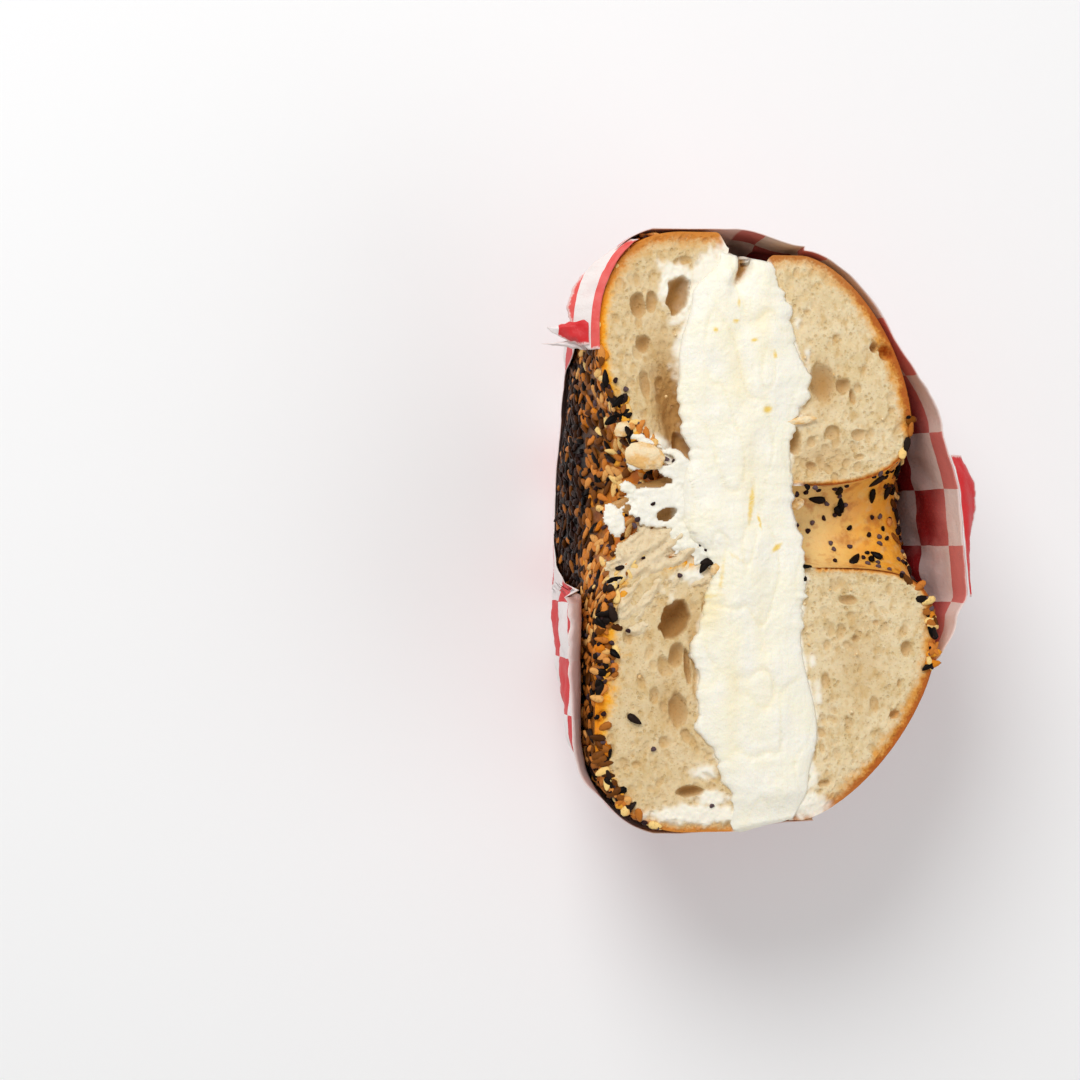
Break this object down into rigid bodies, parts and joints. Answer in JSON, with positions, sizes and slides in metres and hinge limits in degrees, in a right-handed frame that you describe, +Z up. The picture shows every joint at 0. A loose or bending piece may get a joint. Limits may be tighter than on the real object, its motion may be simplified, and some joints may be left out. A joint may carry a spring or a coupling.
{
  "type": "bagel half with cream cheese",
  "caption": "Half of a seeded bagel filled with a thick layer of cream cheese, sawn through its hole and standing in torn red and white checked deli paper, cut face up.",
  "frame": {"origin": "middle of the bounding box, at its lowest height, where the paper lies on the table", "axes": "+Z up, out of the sawn face; +Y along the sawn face across both lobes, from the wrapped lower lobe to the upper one; +X from the seeded crown to the flat base, along the whole bagel's own axis"},
  "size_m": [0.0824, 0.1173, 0.059],
  "materials": {
    "crown_bread": "toasted seeded crust, cream crumb where sawn",
    "base_bread": "golden crust, cream crumb where sawn",
    "filling": "soft satin cream cheese",
    "paper": "thin waxed paper, red and white checks"
  },
  "bodies": {
    "root": {"bagel_crown": "crown_bread", "bagel_base": "base_bread", "cream_cheese": "filling", "paper_wrap": "paper"}
  },
  "joints": []
}
